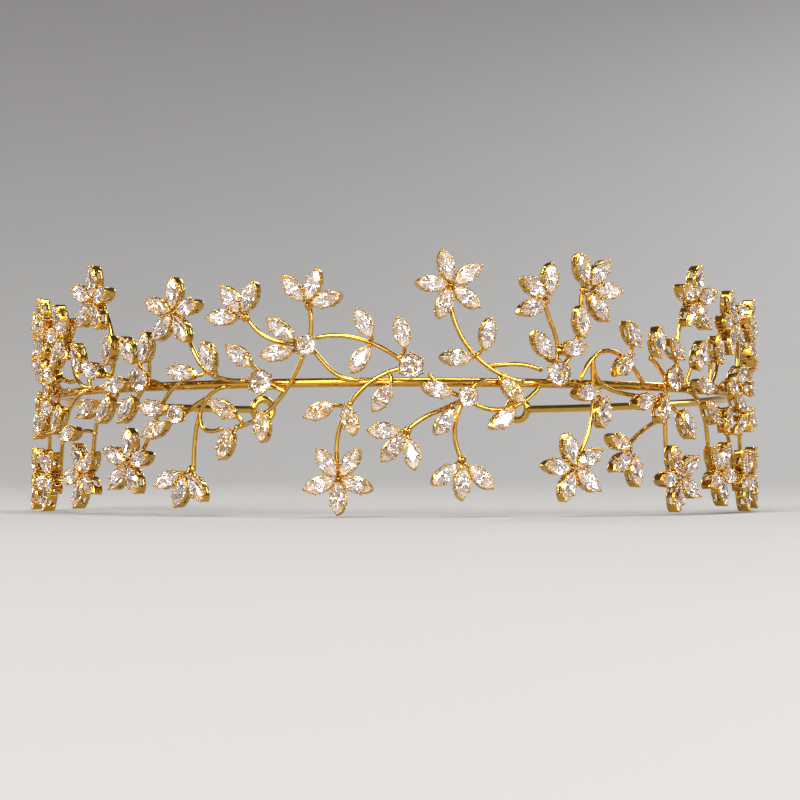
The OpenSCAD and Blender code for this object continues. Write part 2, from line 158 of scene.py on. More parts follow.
# Each spray: name, flowers, leaves, round stones and stems, in millimetres and degrees.
# A flower: arc position along the band, height over it, number of petals, angle of the first petal and
# angle between petals.
# A leaf: arc position and height of its base, and the angle that it points at.
# A round stone: arc position, height and diameter.
# A stem: the guide points of its curve. A branch has, in place of its first guide point, the share of
# the spray's first stem at which it leaves.
SPRAYS = [
    ["left_end",
     [[-113.5, 12, 5, 96, 72], [-108.8, -17.6, 5, -82, 72]],
     [[-116.7, -0.5, 172], [-105, -3.4, -70], [-115.9, -3.2, -140]],
     [[-114.4, -1.2, SMALL]],
     [[[-97, -0.3], [-104, -0.6], [-109.2, -6], [-108.8, -17.6]],
      [0.2, [-105, 1.6], [-113, 2], [-113.5, 12]],
      [0.3, [-106, -0.8], [-110, -1.6], [-114.4, -1.2]]]],
    ["left_rear",
     [[-97.2, 13.5, 5, 90, 72]],
     [[-96.9, 2.4, 92], [-101.6, 3.4, 130], [-95.5, -3.2, -112]],
     [[-92.8, 0.9, SMALL]],
     [[[-85, 0.4], [-93, 0.2], [-97.4, 2], [-97.2, 13.5]],
      [0.5, [-97, 1], [-100, 1.4], [-101.6, 3.4]],
      [0.28, [-91.6, -1.6], [-94, -1.8], [-95.5, -3.2]]]],
    ["left_back_low",
     [[-90.6, -18, 5, -96, 72]],
     [[-83.4, -2.9, 250], [-87.2, -3.4, 178]],
     [],
     [[[-76, -0.3], [-83, -1], [-90, -6], [-90.6, -18]]]],
    ["left_back_high",
     [[-83.2, 11.4, 5, 100, 72]],
     [[-74.6, 3.4, 96], [-86.6, 2.6, 158]],
     [],
     [[[-72.4, 0.4], [-80, 0.6], [-83, 3], [-83.2, 11.4]],
      [0.1, [-74, 1], [-74.6, 2], [-74.6, 3.4]],
      [0.45, [-83, 2], [-85, 2], [-86.6, 2.6]]]],
    ["left_hanging",
     [[-72.6, -17.6, 5, 40, 72]],
     [[-63.2, -1.6, 242], [-68.2, -2.4, 212], [-75.4, -8.4, 190]],
     [],
     [[[-60.6, -0.4], [-68, 0.2], [-73, -4], [-72.6, -17.6]]]],
    ["left_high",
     [[-69, 18.2, 5, 84, 72]],
     [[-64.4, 4.6, 70], [-66.2, 2.6, 158]],
     [],
     [[[-69.6, 0.45], [-64.4, 0.6], [-62.6, 8], [-69, 18.2]],
      [0.2, [-66, 1.2], [-66.2, 1.8], [-66.2, 2.6]]]],
    ["left_side",
     [[-57.4, -15.4, 5, 84, 72]],
     [[-56, 4.6, 118], [-53.4, 4.6, 78], [-57.8, 0.9, 188], [-56.2, -1.9, -122]],
     [[-54.4, 1.3, BIG]],
     [[[-46, 0.3], [-50, -1], [-52, -8], [-57.4, -15.4]],
      [0.2, [-50, 0], [-52, 1], [-54.4, 1.3]]]],
    ["left_drop",
     [[-42.4, -16.8, 3, -155, 50]],
     [[-47.4, -5, 172], [-47.2, -7.4, 206]],
     [[-45, -5.8, SMALL]],
     [[[-35.4, -0.6], [-40.4, -1.2], [-42.6, -8], [-42.4, -16.8]],
      [0.3, [-42, -3.6], [-43, -5], [-45, -5.8]],
      [0.5, [-41.4, -9.4], [-38.6, -9.8], [-36, -8.8]]]],
    ["front_left_flower",
     [[-45.6, 14.4, 5, 86, 72]],
     [[-36.9, 2.2, 104], [-40.6, 1.7, 168]],
     [],
     [[[-31, 0.55], [-40, 0.6], [-42, 4], [-45.6, 14.4]]]],
    ["front_left_trefoils",
     [[-30.4, 13, 3, 66, 57], [-17.6, 15, 3, 14, 57]],
     [[-20.2, 8.4, 142], [-20.4, 6, 186]],
     [[-17.7, 7.1, SMALL]],
     [[[-30.4, 13], [-27, 8], [-24, 8], [-17.7, 7.1]],
      [[-17.6, 15], [-17, 12], [-17.4, 9], [-17.7, 7.1]],
      [[-17.7, 7.1], [-15, 4.6], [-13.4, 0.5], [-8.4, 0.4]]]],
    ["front_left_low",
     [],
     [[-28.7, 3.2, 138], [-31.8, -6.8, 146], [-32.8, -9, 252], [-26.6, -5.4, -84]],
     [[-26.6, 0.1, BIG]],
     [[[-18.9, 5.2], [-22, -2.4], [-26, -7.2], [-32.6, -8.6]],
      [0.35, [-23.6, -1.4], [-25, -0.6], [-26.6, 0.1]]]],
    ["front_vine",
     [[-11.6, -18.9, 5, 54, 72]],
     [[-5.4, 8.6, 118], [-5.9, 7, 238], [-12.4, -4.4, 204], [-10.2, -4.4, -76],
      [0.9, 6.4, 104], [-1.8, -0.6, 236]],
     [[1.9, 2.9, BIG]],
     [[[1.9, 2.9], [-8, 2], [-14.6, -8], [-11.6, -18.9]],
      [[-16, 8.8], [-12, 9.6], [-6, 9.4], [1.9, 2.9]]]],
    ["front_low",
     [[1.2, -9.6, 3, 180, 50], [11.6, -15.2, 3, -142, 48]],
     [[9.6, -2.4, 166], [10, -5.4, 232], [21.6, -5.4, 216]],
     [[12.5, -3, SMALL]],
     [[[12.5, -3], [9, -5.6], [5, -5.6], [1.2, -9.6]],
      [[12.5, -3], [9.6, -8], [10, -11], [11.6, -15.2]],
      [[5.6, 1.4], [6.6, -0.4], [9, -2.2], [12.5, -3]],
      [[12.5, -3], [14.4, -0.8], [14.6, 0.2], [16.2, 0.3]],
      [[12.5, -3], [17, -7], [23.4, -5.8], [27.4, -0.8]]]],
    ["front_top",
     [[9.4, 18.8, 5, 105, 72]],
     [[15.7, 6.2, 80], [13.2, 4.6, 180], [19, 0.8, -50]],
     [],
     [[[9.4, 18.8], [9, 9], [16, 1.2], [24, 0.3]],
      [0.66, [18, 2.6], [22, 4.8], [27.8, 2.6]]]],
    ["front_right_high",
     [[28.6, 16.2, 3, 89, 56], [37, 18.6, 4, -58, 56]],
     [[35.9, 9, 99], [36.5, 7.4, 190], [28.6, 4.8, 124]],
     [[30.5, 1.8, BIG]],
     [[[37, 18.6], [36.4, 14], [37.4, 6], [30.5, 1.8]],
      [[28.6, 16.2], [30, 10], [33, 9], [30.5, 1.8]],
      [[30.5, 1.8], [33, 0.3], [33.6, 0.3], [35, 0.2]]]],
    ["front_right_vine",
     [[33.6, -16.8, 5, 104, 72]],
     [[49.2, 7.6, 128], [47.6, 6, 222], [39.4, -1.4, 188], [41, -2.6, 256], [53.2, -2.4, 196]],
     [],
     [[[36.6, 0.8], [40, 8.6], [46, 9], [52.4, 0.6]],
      [0.25, [38.8, 1], [42, -9], [33.6, -16.8]],
      [0.25, [39.4, -2], [46, -1.4], [53.2, -2.4]]]],
    ["right_side",
     [[47.6, -13, 3, 160, 56], [60.4, -18.6, 5, -104, 72]],
     [[54.8, 5.6, 98], [62, -4.6, -70], [56.8, -1.8, 246]],
     [[59.4, 1.7, BIG]],
     [[[59.4, 1.7], [59.4, -5], [58.4, -12], [60.4, -18.6]],
      [0.4, [56, -7], [51, -9], [47.6, -13]],
      [[59.4, 1.7], [57.4, 4], [56, 5], [54.8, 5.6]]]],
    ["right_high",
     [[66.6, 18, 5, 88, 72]],
     [[67.2, 3.6, 76], [66.4, 1.2, -14], [61.8, 5.6, 142]],
     [],
     [[[66.2, 0.5], [62, 0.6], [61.8, 10], [66.6, 18]]]],
    ["right_back_low",
     [[75.8, -17.2, 5, 62, 72], [91.6, -18.2, 5, -90, 72]],
     [[70.6, -2.6, -48], [85, -9.2, 40], [81, -3.4, -120]],
     [],
     [[[66.8, -0.6], [72, -1.2], [76.4, -6], [75.8, -17.2]],
      [0.4, [79, -4], [90, -6], [91.6, -18.2]]]],
    ["right_back_high",
     [[82.6, 14.2, 5, 108, 72]],
     [[77, 5.4, 118], [85, 2.4, 26], [84.9, -0.3, -38]],
     [[83, 1, SMALL]],
     [[[73.4, 0.4], [79, 0.4], [82, 5], [82.6, 14.2]],
      [0.2, [76.6, 2], [77.4, 4], [77, 5.4]],
      [0.3, [79.4, 0.4], [81, 0.8], [83, 1]]]],
    ["right_end",
     [[99.4, 13.4, 5, 84, 72], [107.6, -17.8, 5, -76, 72], [114.6, 6.6, 4, -8, 60]],
     [[98.2, -3, -124], [104.8, -3.2, -30]],
     [[103.6, 1.4, SMALL]],
     [[[92.6, 0.3], [98, 0.8], [99.4, 4], [99.4, 13.4]],
      [0.12, [100, -1.6], [107, -6], [107.6, -17.8]],
      [0.35, [103, 2.4], [108, -1], [114.6, 6.6]]]],
]


def millimetres(name, description, default):
    """A length property, given in millimetres."""
    return FloatProperty(name=name, description=description, default=default * MM, unit="LENGTH", precision=5)


def degrees(name, description, default):
    """An angle property, given in degrees."""
    return FloatProperty(name=name, description=description, default=math.radians(default), subtype="ANGLE")


def share(name, description, default):
    """A share property, from 0 to 1."""
    return FloatProperty(name=name, description=description, default=default, subtype="FACTOR", min=0, max=1)


def colour(name, description, default):
    """A colour property."""
    return FloatVectorProperty(
        name=name, description=description, default=default, subtype="COLOR", size=3, min=0, max=1
    )


class TiaraBandSizes(bpy.types.PropertyGroup):
    """Sizes of the band and the vine wires, and how the tiara rests"""

    radius: millimetres("Band radius", "Radius of the band wire's centre line", 75)
    wire: millimetres("Band wire", "Diameter of the band wire", 1.8)
    opening: degrees("Opening", "Opening of the band at the back", 54)
    eye_ring: millimetres("Eyelet", "Centre-line diameter of the end eyelets", 5.2)
    vine_wire: millimetres("Vine wire", "Diameter of the vine wires", 0.9)
    vine_gap: millimetres("Vine gap", "Clearance between a vine wire and the band", 0.12)
    rest_tilt: degrees("Tilt", "Forward-up tilt of the band as the tiara rests", 0.96)
    rest_roll: degrees("Sideways tilt", "Sideways tilt as the tiara rests", -0.1)
    rest_height: millimetres("Rest height", "Height of the band's centre over the floor", 25.12)
    rest_back: millimetres("Rest shift", "Shift of the band's centre to the back", 5.55)


class TiaraStoneSizes(bpy.types.PropertyGroup):
    """Sizes of the stones and their settings"""

    length: millimetres("Stone length", "Length of a pointed-oval stone", 6.28)
    width: millimetres("Stone width", "Width of a pointed-oval stone", 3.12)
    round_extra: millimetres("Round stone overhang", "Width by which a round stone covers its rail", 0.62)
    crown: millimetres("Crown", "Height of the crown over the girdle", 0.6)
    pavilion: millimetres("Pavilion", "Depth of the pavilion under the girdle", 1.45)
    girdle: millimetres("Girdle", "Thickness of the girdle", 0.07)
    table: share("Table", "Share of a stone's width that its table takes", 0.56)
    rail: millimetres("Rail", "Width of the rail that shows round a stone", 0.11)
    wall: millimetres("Wall", "Thickness of a setting's wall", 0.3)
    depth: millimetres("Depth", "Depth of a setting from its back to its claws", 2.95)
    bead: millimetres("Bead", "Radius of the small claws along a setting's edge", 0.27)
    cup: degrees("Cup", "Outward tip of the leaves and petals", 6)


class TiaraFinish(bpy.types.PropertyGroup):
    """Colours of the plating, of its clouds and painted recess shade, and of the crystals"""

    gold: colour("Gold", "Colour of the polished plating", (0.7, 0.415, 0.07))
    # Dark end of the plating's random cloudy tone, and the colour of the painted shade in its recesses
    cloud_and_shade_gold: colour("Cloud and shade gold", "Colour of the random clouds and the painted shade in the plating's recesses", (0.29, 0.125, 0.015))
    roughness: share("Roughness", "Roughness of the polished plating", 0.12)
    clear: colour("Clear", "Clear tone of the crystals", (0.94, 0.92, 0.91))
    rose: colour("Rose", "Rose tone in some facets", (0.92, 0.82, 0.78))
    lilac: colour("Lilac", "Lilac tone in some facets", (0.7, 0.68, 0.8))
    champagne: colour("Champagne", "Warm tone in some facets", (0.9, 0.58, 0.2))


class TiaraStage(bpy.types.PropertyGroup):
    """Floor, backdrop and camera"""

    floor: colour("Floor", "Colour of the floor", (0.44, 0.428, 0.418))
    backdrop: colour("Backdrop", "Colour of the backdrop's top", (0.27, 0.262, 0.257))
    azimuth: degrees("Azimuth", "Turn of the camera to the left of the front", 1.0)
    elevation: degrees("Elevation", "Angle of the camera over the level of what it faces", -1.4)
    distance: millimetres("Distance", "Distance of the camera from what it faces", 595)
    side_step: millimetres("Side step", "Shift of the view to the right of the band's centre", 1.2)
    drop: millimetres("Drop", "Shift of the view under the middle of the tiara", 1.5)
    focal: FloatProperty(name="Focal length", description="Focal length in millimetres", default=119.7)


def on_band(band, s, h, out):
    """Matrix of a place on the band's front, s millimetres along it and h over it: z points outwards."""
    around = Matrix.Rotation(s * MM / band.radius, 4, "Z")
    step = Matrix.Translation((0, -(band.radius + out), h * MM))
    return around @ step @ Matrix.Rotation(math.pi / 2, 4, "X")


def place(band, s, h, out):
    """Place on the band's front, as on_band gives it, without its turn."""
    turn = s * MM / band.radius
    reach = band.radius + out
    return Vector((reach * math.sin(turn), -reach * math.cos(turn), h * MM))


def rest_matrix(band):
    """The pose at rest on a level floor."""
    lift = Matrix.Translation((0, band.rest_back, band.rest_height))
    return lift @ Matrix.Rotation(band.rest_roll, 4, "Y") @ Matrix.Rotation(-band.rest_tilt, 4, "X")


def curve(points, t):
    """Point of a curve that runs from its first guide point to its last and leans towards the others."""
    points = [Vector(p) for p in points]
    while len(points) > 1:
        points = [a.lerp(b, t) for a, b in zip(points, points[1:])]
    return points[0]


def guides(stems, points):
    """Guide points of one stem, with a branch's first point found on the spray's first stem."""
    if isinstance(points[0], (int, float)):
        return [curve(stems[0], points[0])] + points[1:]
    return points


def check_box(name, points, nodes):
    """Stops with an error when a piece strays from the nodes that it replaces."""
    boxes = np.array([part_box(node) for node in nodes])
    low, high = boxes[:, 0].min(axis=0), boxes[:, 1].max(axis=0)
    stray = max(abs(points.min(axis=0) - low).max(), abs(points.max(axis=0) - high).max())
    if stray > STRAY:
        raise RuntimeError(f"{name} strays {stray / MM:.2f} mm from {', '.join(nodes)}")


class Form:
    """Points and faces gathered from many small shapes, each of which is its points, its faces and how deep
    each point lies in a recess."""

    def __init__(self):
        self.points = []
        self.faces = []
        self.smooth = []
        self.recess = []
        self.count = 0

    def add(self, shape, matrix, smooth=True):
        """Adds a shape where the matrix puts it."""
        points, faces, recess = shape
        turned = np.asarray(points) @ np.array(matrix.to_3x3()).T + np.array(matrix.translation)
        self.points.append(turned)
        self.recess.append(recess)
        self.faces += [tuple(i + self.count for i in face) for face in faces]
        self.smooth += [smooth] * len(faces)
        self.count += len(points)

    def piece(self, name, slot, material, nodes):
        """Makes one visible piece of all that was added, in place of its nodes."""
        mesh = bpy.data.meshes.new(name)
        points = np.vstack(self.points)
        check_box(name, points, nodes)
        mesh.from_pydata(points.tolist(), [], self.faces)
        mesh.polygons.foreach_set("use_smooth", self.smooth)
        # Mask of the points in recesses, where the gold material paints shade
        deep = mesh.attributes.new("recess", "FLOAT", "POINT")
        deep.data.foreach_set("value", np.concatenate(self.recess).astype(np.float32))
        mesh.materials.append(material)
        mesh.update()
        piece = bpy.data.objects.new(name, mesh)
        bpy.context.scene.collection.objects.link(piece)
        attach(piece, BODY)
        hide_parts(*nodes)
        return piece


def oval_place(size_l, size_w, turn, point):
    """Place on an oval whose tips are pointed (point 1) or rounded (point 0.5)."""
    across = math.copysign(abs(math.sin(turn)) ** (2 * point), math.sin(turn))
    return size_l / 2 * math.cos(turn), size_w / 2 * across


def pointed_hoop(size_l, size_w, z, point=1.0, count=12):
    """Closed oval with its tips on the x axis and count points along each side."""
    return [(*oval_place(size_l, size_w, math.pi * i / count, point), z) for i in range(2 * count)]


def round_hoop(diameter, z, count=20):
    """Closed circle of count points."""
    turns = [2 * math.pi * i / count for i in range(count)]
    return [(diameter / 2 * math.cos(t), diameter / 2 * math.sin(t), z) for t in turns]


def strip(a, b, n):
    """Faces between two closed rows of n points, whose first points are a and b."""
    return [(a + k, a + (k + 1) % n, b + (k + 1) % n, b + k) for k in range(n)]


def ring(hoops):
    """Closed ring through hoops of the same number of points. All after the outer hoops lie in a recess."""
    n = len(hoops[0])
    points = [p for hoop in hoops for p in hoop]
    faces = []
    for i in range(len(hoops)):
        faces += strip(i * n, (i + 1) % len(hoops) * n, n)
    recess = [1.0 if i >= OUTER_HOOPS else 0.0 for i in range(len(hoops)) for _ in range(n)]
    return points, faces, recess


def ball(radius, stretch=(1, 1, 1), rings=5, sides=8):
    """Small ball, stretched along its axes."""
    points = [(0, 0, radius)]
    for i in range(1, rings):
        tilt = math.pi * i / rings
        for k in range(sides):
            turn = 2 * math.pi * k / sides
            points.append((
                radius * math.sin(tilt) * math.cos(turn),
                radius * math.sin(tilt) * math.sin(turn),
                radius * math.cos(tilt),
            ))
    points.append((0, 0, -radius))
    faces = [(0, 1 + k, 1 + (k + 1) % sides) for k in range(sides)]
    for i in range(rings - 2):
        a = 1 + i * sides
        b = a + sides
        faces += [(a + k, b + k, b + (k + 1) % sides, a + (k + 1) % sides) for k in range(sides)]
    a = 1 + (rings - 2) * sides
    faces += [(a + k, len(points) - 1, a + (k + 1) % sides) for k in range(sides)]
    points = [tuple(c * s for c, s in zip(p, stretch)) for p in points]
    return points, faces, [0.0] * len(points)


def tube(line, radii, sides=10):
    """Round wire along a line of points, with a radius for each point and closed ends."""
    line = [Vector(p) for p in line]
    points = []
    side = None
    for i, p in enumerate(line):
        along = (line[min(i + 1, len(line) - 1)] - line[max(i - 1, 0)]).normalized()
        if side is None:
            side = along.orthogonal().normalized()
        side = (side - along * side.dot(along)).normalized()
        up = along.cross(side)
        for k in range(sides):
            turn = 2 * math.pi * k / sides
            points.append(p + radii[i] * (side * math.cos(turn) + up * math.sin(turn)))
    faces = []
    for i in range(len(line) - 1):
        faces += strip(i * sides, (i + 1) * sides, sides)
    faces.append(tuple(range(sides - 1, -1, -1)))
    faces.append(tuple(range(len(points) - sides, len(points))))
    return points, faces, [0.0] * len(points)


def merge(shapes):
    """One shape out of several, each with the matrix that places it."""
    points, faces, recess = [], [], []
    for shape, matrix in shapes:
        start = len(points)
        points += [matrix @ Vector(p) for p in shape[0]]
        faces += [tuple(i + start for i in face) for face in shape[1]]
        recess += shape[2]
    return [tuple(p) for p in points], faces, recess


def girdle_height(stone):
    """Height of the girdles over the settings' backs."""
    return stone.depth - stone.crown - 0.1 * MM


def drawn_in(outline, picks, part, z):
    """Some of an outline's points, drawn in to a part of their distance from the middle, at height z."""
    return [(outline[i][0] * part, outline[i][1] * part, z) for i in picks]


def brilliant(outline, stone, crown, pavilion):
    """Brilliant cut on an outline of 16 points: table, stars, kites, girdle facets and broken pavilion."""
    rim = girdle_height(stone)
    n = len(outline)
    half = n // 2
    corners, middles = range(0, n, 2), range(1, n, 2)
    points = drawn_in(outline, range(n), 1, rim + stone.girdle / 2)
    points += drawn_in(outline, range(n), 1, rim - stone.girdle / 2)
    points += drawn_in(outline, corners, stone.table, rim + crown)
    points += drawn_in(outline, middles, 0.5 + stone.table / 2, rim + crown * KITE_HEIGHT)
    points += drawn_in(outline, middles, KEEL_SHARE, rim - pavilion * KEEL_DEPTH)
    points += drawn_in(outline, corners, BELT_SHARE, rim - pavilion * BELT_DEPTH)
    points.append((0, 0, rim - pavilion))
    top, low, table, kite, keel, belt, tip = 0, n, 2 * n, 2 * n + half, 3 * n, 3 * n + half, 4 * n
    faces = [tuple(table + i for i in range(half))]
    for i in range(half):
        before, after = (i - 1) % half, (i + 1) % half
        here, mid, there = 2 * i, 2 * i + 1, (2 * i + 2) % n
        faces += [
            (table + i, kite + i, table + after),
            (table + i, kite + before, top + here, kite + i),
            (top + here, top + mid, kite + i),
            (top + mid, top + there, kite + i),
            (low + here, low + mid, top + mid, top + here),
            (low + mid, low + there, top + there, top + mid),
            (low + here, keel + i, low + mid),
            (low + mid, keel + i, low + there),
            (low + here, keel + before, belt + i),
            (keel + before, tip, belt + i),
            (tip, keel + i, belt + i),
            (keel + i, low + here, belt + i),
        ]
    return points, faces, [0.0] * len(points)


def panel(size_l, size_w, head, thick, edges, path):
    """Piece of a setting's wall, up to a height, between two edges that are turns round the oval.

    The sides of a pointed oval lie aslant, so the wall takes up more of its length than of its width."""
    levels = 6
    outer, inner = [], []
    for j in range(levels + 1):
        rise = j / levels
        z = head * rise
        point, taper = BLUNT + (1 - BLUNT) * rise, FOOT + (1 - FOOT) * rise
        oval_l, oval_w = size_l * taper, size_w * taper
        first, last = edges(rise)
        for k in range(path + 1):
            turn = first + (last - first) * k / path
            outer.append((*oval_place(oval_l, oval_w, turn, point), z))
            inner.append((*oval_place(oval_l - 3.2 * thick, oval_w - 2 * thick, turn, point), z))
    row, many = path + 1, len(outer)
    faces = []
    for j in range(levels):
        for k in range(path):
            a = j * row + k
            faces.append((a, a + 1, a + row + 1, a + row))
            faces.append((many + a, many + a + row, many + a + row + 1, many + a + 1))
    for k in range(path):
        a, b = k, levels * row + k
        faces.append((a, many + a, many + a + 1, a + 1))
        faces.append((b, b + 1, many + b + 1, many + b))
    for j in range(levels):
        a, b = j * row, j * row + path
        faces.append((a, a + row, many + a + row, many + a))
        faces.append((b, many + b, many + b + row, b + row))
    return outer + inner, faces, [0.0] * many + [1.0] * many


def edge_turn(edge, rise):
    """Turn round the oval at which a wall ends, by how far up its height that is."""
    at_ends, at_middle = edge
    return math.acos(at_ends + (at_middle - at_ends) * math.sin(math.pi * rise))


def tip_edges(rise):
    """Edges of the wall round a tip."""
    turn = edge_turn(TIP_EDGE, rise)
    return -turn, turn


def side_edges(rise):
    """Edges of the wall in the middle of a long side."""
    turn = edge_turn(SIDE_EDGE, rise)
    return turn, math.pi - turn


def pointed_setting(stone):
    """Open setting of a pointed-oval stone: rail, back ring, walls with windows between, claws and grains."""
    girdle = girdle_height(stone)
    seat = girdle - SEAT_DROP
    outer_l, outer_w = stone.length + 2.6 * stone.rail, stone.width + 1.8 * stone.rail
    rail = ring([pointed_hoop(outer_l * l, outer_w * w, girdle + z * MM) for l, w, z in POINTED_RAIL])
    back = ring([pointed_hoop(outer_l * l, outer_w * w, z * MM, BLUNT) for l, w, z in POINTED_BACK])
    head = seat + 0.2 * MM
    tip = panel(outer_l, outer_w, head, stone.wall, tip_edges, 12)
    side = panel(outer_l, outer_w, head, stone.wall, side_edges, 6)
    tip_claw = ball(stone.bead * 1.15, (1, 0.95, 1.5))
    tip_spot = Matrix.Translation((stone.length * 0.487, 0, girdle + 0.12 * MM))
    tip_lean = Matrix.Rotation(-0.5, 4, "Y")
    claw_l, claw_w = outer_l + 0.06 * MM, outer_w + 0.02 * MM
    shapes = [(rail, Matrix()), (back, Matrix())]
    for half_turn in (0, math.pi):
        mirror = Matrix.Rotation(half_turn, 4, "Z")
        shapes += [(tip, mirror), (side, mirror), (tip_claw, mirror @ tip_spot @ tip_lean)]
        for spot in CLAW_SPOTS:
            x, y = oval_place(claw_l, claw_w, math.acos(spot), 1)
            stalk = [(x, y * 0.99, seat), (x, y, girdle), (x * 0.97, y * 0.94, girdle + 0.24 * MM)]
            shapes.append((tube(stalk, [stone.bead, stone.bead * 0.9, stone.bead * 0.9], 7), mirror))
            shapes.append((ball(stone.bead), mirror @ Matrix.Translation(stalk[-1])))
        for spot in GRAIN_SPOTS:
            x, y = oval_place(claw_l, claw_w, math.acos(spot), 1)
            grain = Matrix.Translation((x * 0.99, y * 0.96, girdle + 0.1 * MM))
            shapes.append((ball(stone.bead * 0.78), mirror @ grain))
    return merge(shapes)


def round_setting(stone, diameter, claws):
    """Open cup of a round stone: rail under the girdle, small back ring and bent claws."""
    girdle = girdle_height(stone)
    outer = diameter + stone.round_extra - 0.1 * MM
    rail = ring([round_hoop(outer * d, girdle + z * MM) for d, z in ROUND_RAIL])
    back = ring([round_hoop(outer * d, z * MM) for d, z in ROUND_BACK])
    reach = outer / 2 + 0.16 * MM
    line = [(reach * r, 0, z * MM) for r, z, _ in ROUND_CLAW_FOOT]
    line += [(reach * r, 0, girdle + z * MM) for r, z, _ in ROUND_CLAW_HEAD]
    claw = tube(line, [w * stone.bead for _, _, w in ROUND_CLAW_FOOT + ROUND_CLAW_HEAD], 8)
    shapes = [(rail, Matrix()), (back, Matrix())]
    for k in range(claws):
        turn = Matrix.Rotation(2 * math.pi * (k + 0.5) / claws, 4, "Z")
        shapes.append((claw, turn))
        shapes.append((ball(stone.bead * 1.05), turn @ Matrix.Translation(line[-1])))
    return merge(shapes)


def petal_reach(step):
    """Distance of the petals' inner tips from the flower's middle, so that neighbours stay clear."""
    return max(0.7 * MM, SETTING_WIDTH * SHOULDER / math.tan(step / 2) - SETTING_LENGTH / 4)


def leaf_matrix(stone, turn, reach):
    """Turns a setting to an angle, tips it outwards and moves its inner tip out by the reach."""
    tip = Matrix.Rotation(turn, 4, "Z") @ Matrix.Rotation(-stone.cup, 4, "Y")
    return tip @ Matrix.Translation((reach + SETTING_LENGTH / 2, 0, 0))


def wire_out(band):
    """Distance of the vine wires' middles outside the band's centre line."""
    return band.wire / 2 + band.vine_gap + band.vine_wire / 2


def setting_out(band):
    """Distance of the settings' backs outside the band's centre line."""
    return wire_out(band) + band.vine_wire / 2 + 0.1 * MM


def leaf_places(band, stone, spray):
    """Matrices of all pointed-oval settings of a spray."""
    back = setting_out(band)
    places = []
    for s, h, petals, first, step in spray[FLOWERS]:
        reach = petal_reach(math.radians(step))
        for i in range(petals):
            turn = math.radians(first + i * step)
            places.append(on_band(band, s, h, back) @ leaf_matrix(stone, turn, reach))
    for s, h, turn in spray[LEAVES]:
        places.append(on_band(band, s, h, back) @ leaf_matrix(stone, math.radians(turn), 0))
    return places


def add_stem(form, band, points, rest):
    """Vine wire along the guide points, with a ball of solder at each end."""
    steps = 40
    out = wire_out(band)
    line = []
    for i in range(steps + 1):
        s, h = curve(points, i / steps)
        line.append(place(band, s, h, out))
    radius = band.vine_wire / 2
    form.add(tube(line, [radius] * len(line)), rest)
    solder = ball(radius * 1.02, rings=6, sides=10)
    for end, inward in ((line[0], line[2]), (line[-1], line[-3])):
        aim = (end - inward).to_track_quat("Z", "Y").to_matrix().to_4x4()
        form.add(solder, rest @ Matrix.Translation(end) @ aim)


def nearest_mark(stems, rounds, s, h):
    """Nearest place on a spray's wires or round settings."""
    steps = 20
    marks = [curve(guides(stems, points), t / steps) for points in stems for t in range(steps + 1)]
    marks += [Vector(stone[:2]) for stone in rounds]
    return min(marks, key=lambda m: (m - Vector((s, h))).length)


def add_leaf_wire(form, band, spray, leaf, rest):
    """Short bent wire from the vine behind a leaf to the back of its base, with solder at the vine."""
    s, h, turn = leaf
    mark = nearest_mark(spray[STEMS], spray[ROUNDS], s, h)
    aim = Vector((math.cos(math.radians(turn)), math.sin(math.radians(turn))))
    base = Vector((s, h))
    radius = band.vine_wire / 2
    under_leaf = 1.3
    guide = [mark, base - aim * (mark - base).length * 0.5, base + aim * under_leaf]
    depth = [wire_out(band), wire_out(band), setting_out(band) + radius]
    steps = 12
    line = []
    for i in range(steps + 1):
        x, y = curve(guide, i / steps)
        out = curve([(d,) * 3 for d in depth], i / steps)[0]
        line.append(place(band, x, y, out))
    form.add(tube(line, [radius * 0.9] * len(line), 8), rest)
    form.add(ball(radius * 1.3, rings=6, sides=10), rest @ Matrix.Translation(line[0]))


def add_petal_grains(form, stone, here, turn, step):
    """Two grains that close the gap between two petals near the flower's middle."""
    narrow = SETTING_WIDTH * SHOULDER / math.sin(step / 2)
    arm = here @ Matrix.Rotation(turn, 4, "Z")
    for along, size, drop in ((0.92, 0.9, 0.1), (0.66, 0.8, 0.5)):
        spot = Matrix.Translation((narrow * along, 0, girdle_height(stone) - drop * MM))
        form.add(ball(stone.bead * size, (1.2, 1, 1.6)), arm @ spot)


def add_flower_middle(form, band, stone, flower, rest):
    """Hub of a flower, with an arm to each petal, grains in the gaps and a post that ends in a ball."""
    s, h, petals, first, step = flower
    here = rest @ on_band(band, s, h, setting_out(band))
    hub, arm_wire = 0.9 * MM, 0.36 * MM
    form.add(ball(hub, (1, 1, 0.5), 6, 12), here @ Matrix.Translation((0, 0, 0.25 * MM)))
    reach = petal_reach(math.radians(step))
    line = [(0, 0, 0.1 * MM), (reach, 0, 0.2 * MM), (reach + 0.8 * MM, 0, 0.4 * MM)]
    arm = tube(line, [arm_wire] * len(line), 8)
    for i in range(petals):
        form.add(arm, here @ Matrix.Rotation(math.radians(first + i * step), 4, "Z"))
    full_circle = petals * step > 359
    for i in range(petals if full_circle else petals - 1):
        add_petal_grains(form, stone, here, math.radians(first + (i + 0.5) * step), math.radians(step))
    post_foot, post_top = -0.6 * MM, (1.7 if petals > 4 else 0.9) * MM
    post = [(0, 0, post_foot), (0, 0, post_top / 2), (0, 0, post_top)]
    form.add(tube(post, [0.5 * MM, 0.4 * MM, arm_wire]), here)
    form.add(ball(0.42 * MM, (1, 1, 1.2), 6, 10), here @ Matrix.Translation(post[-1]))


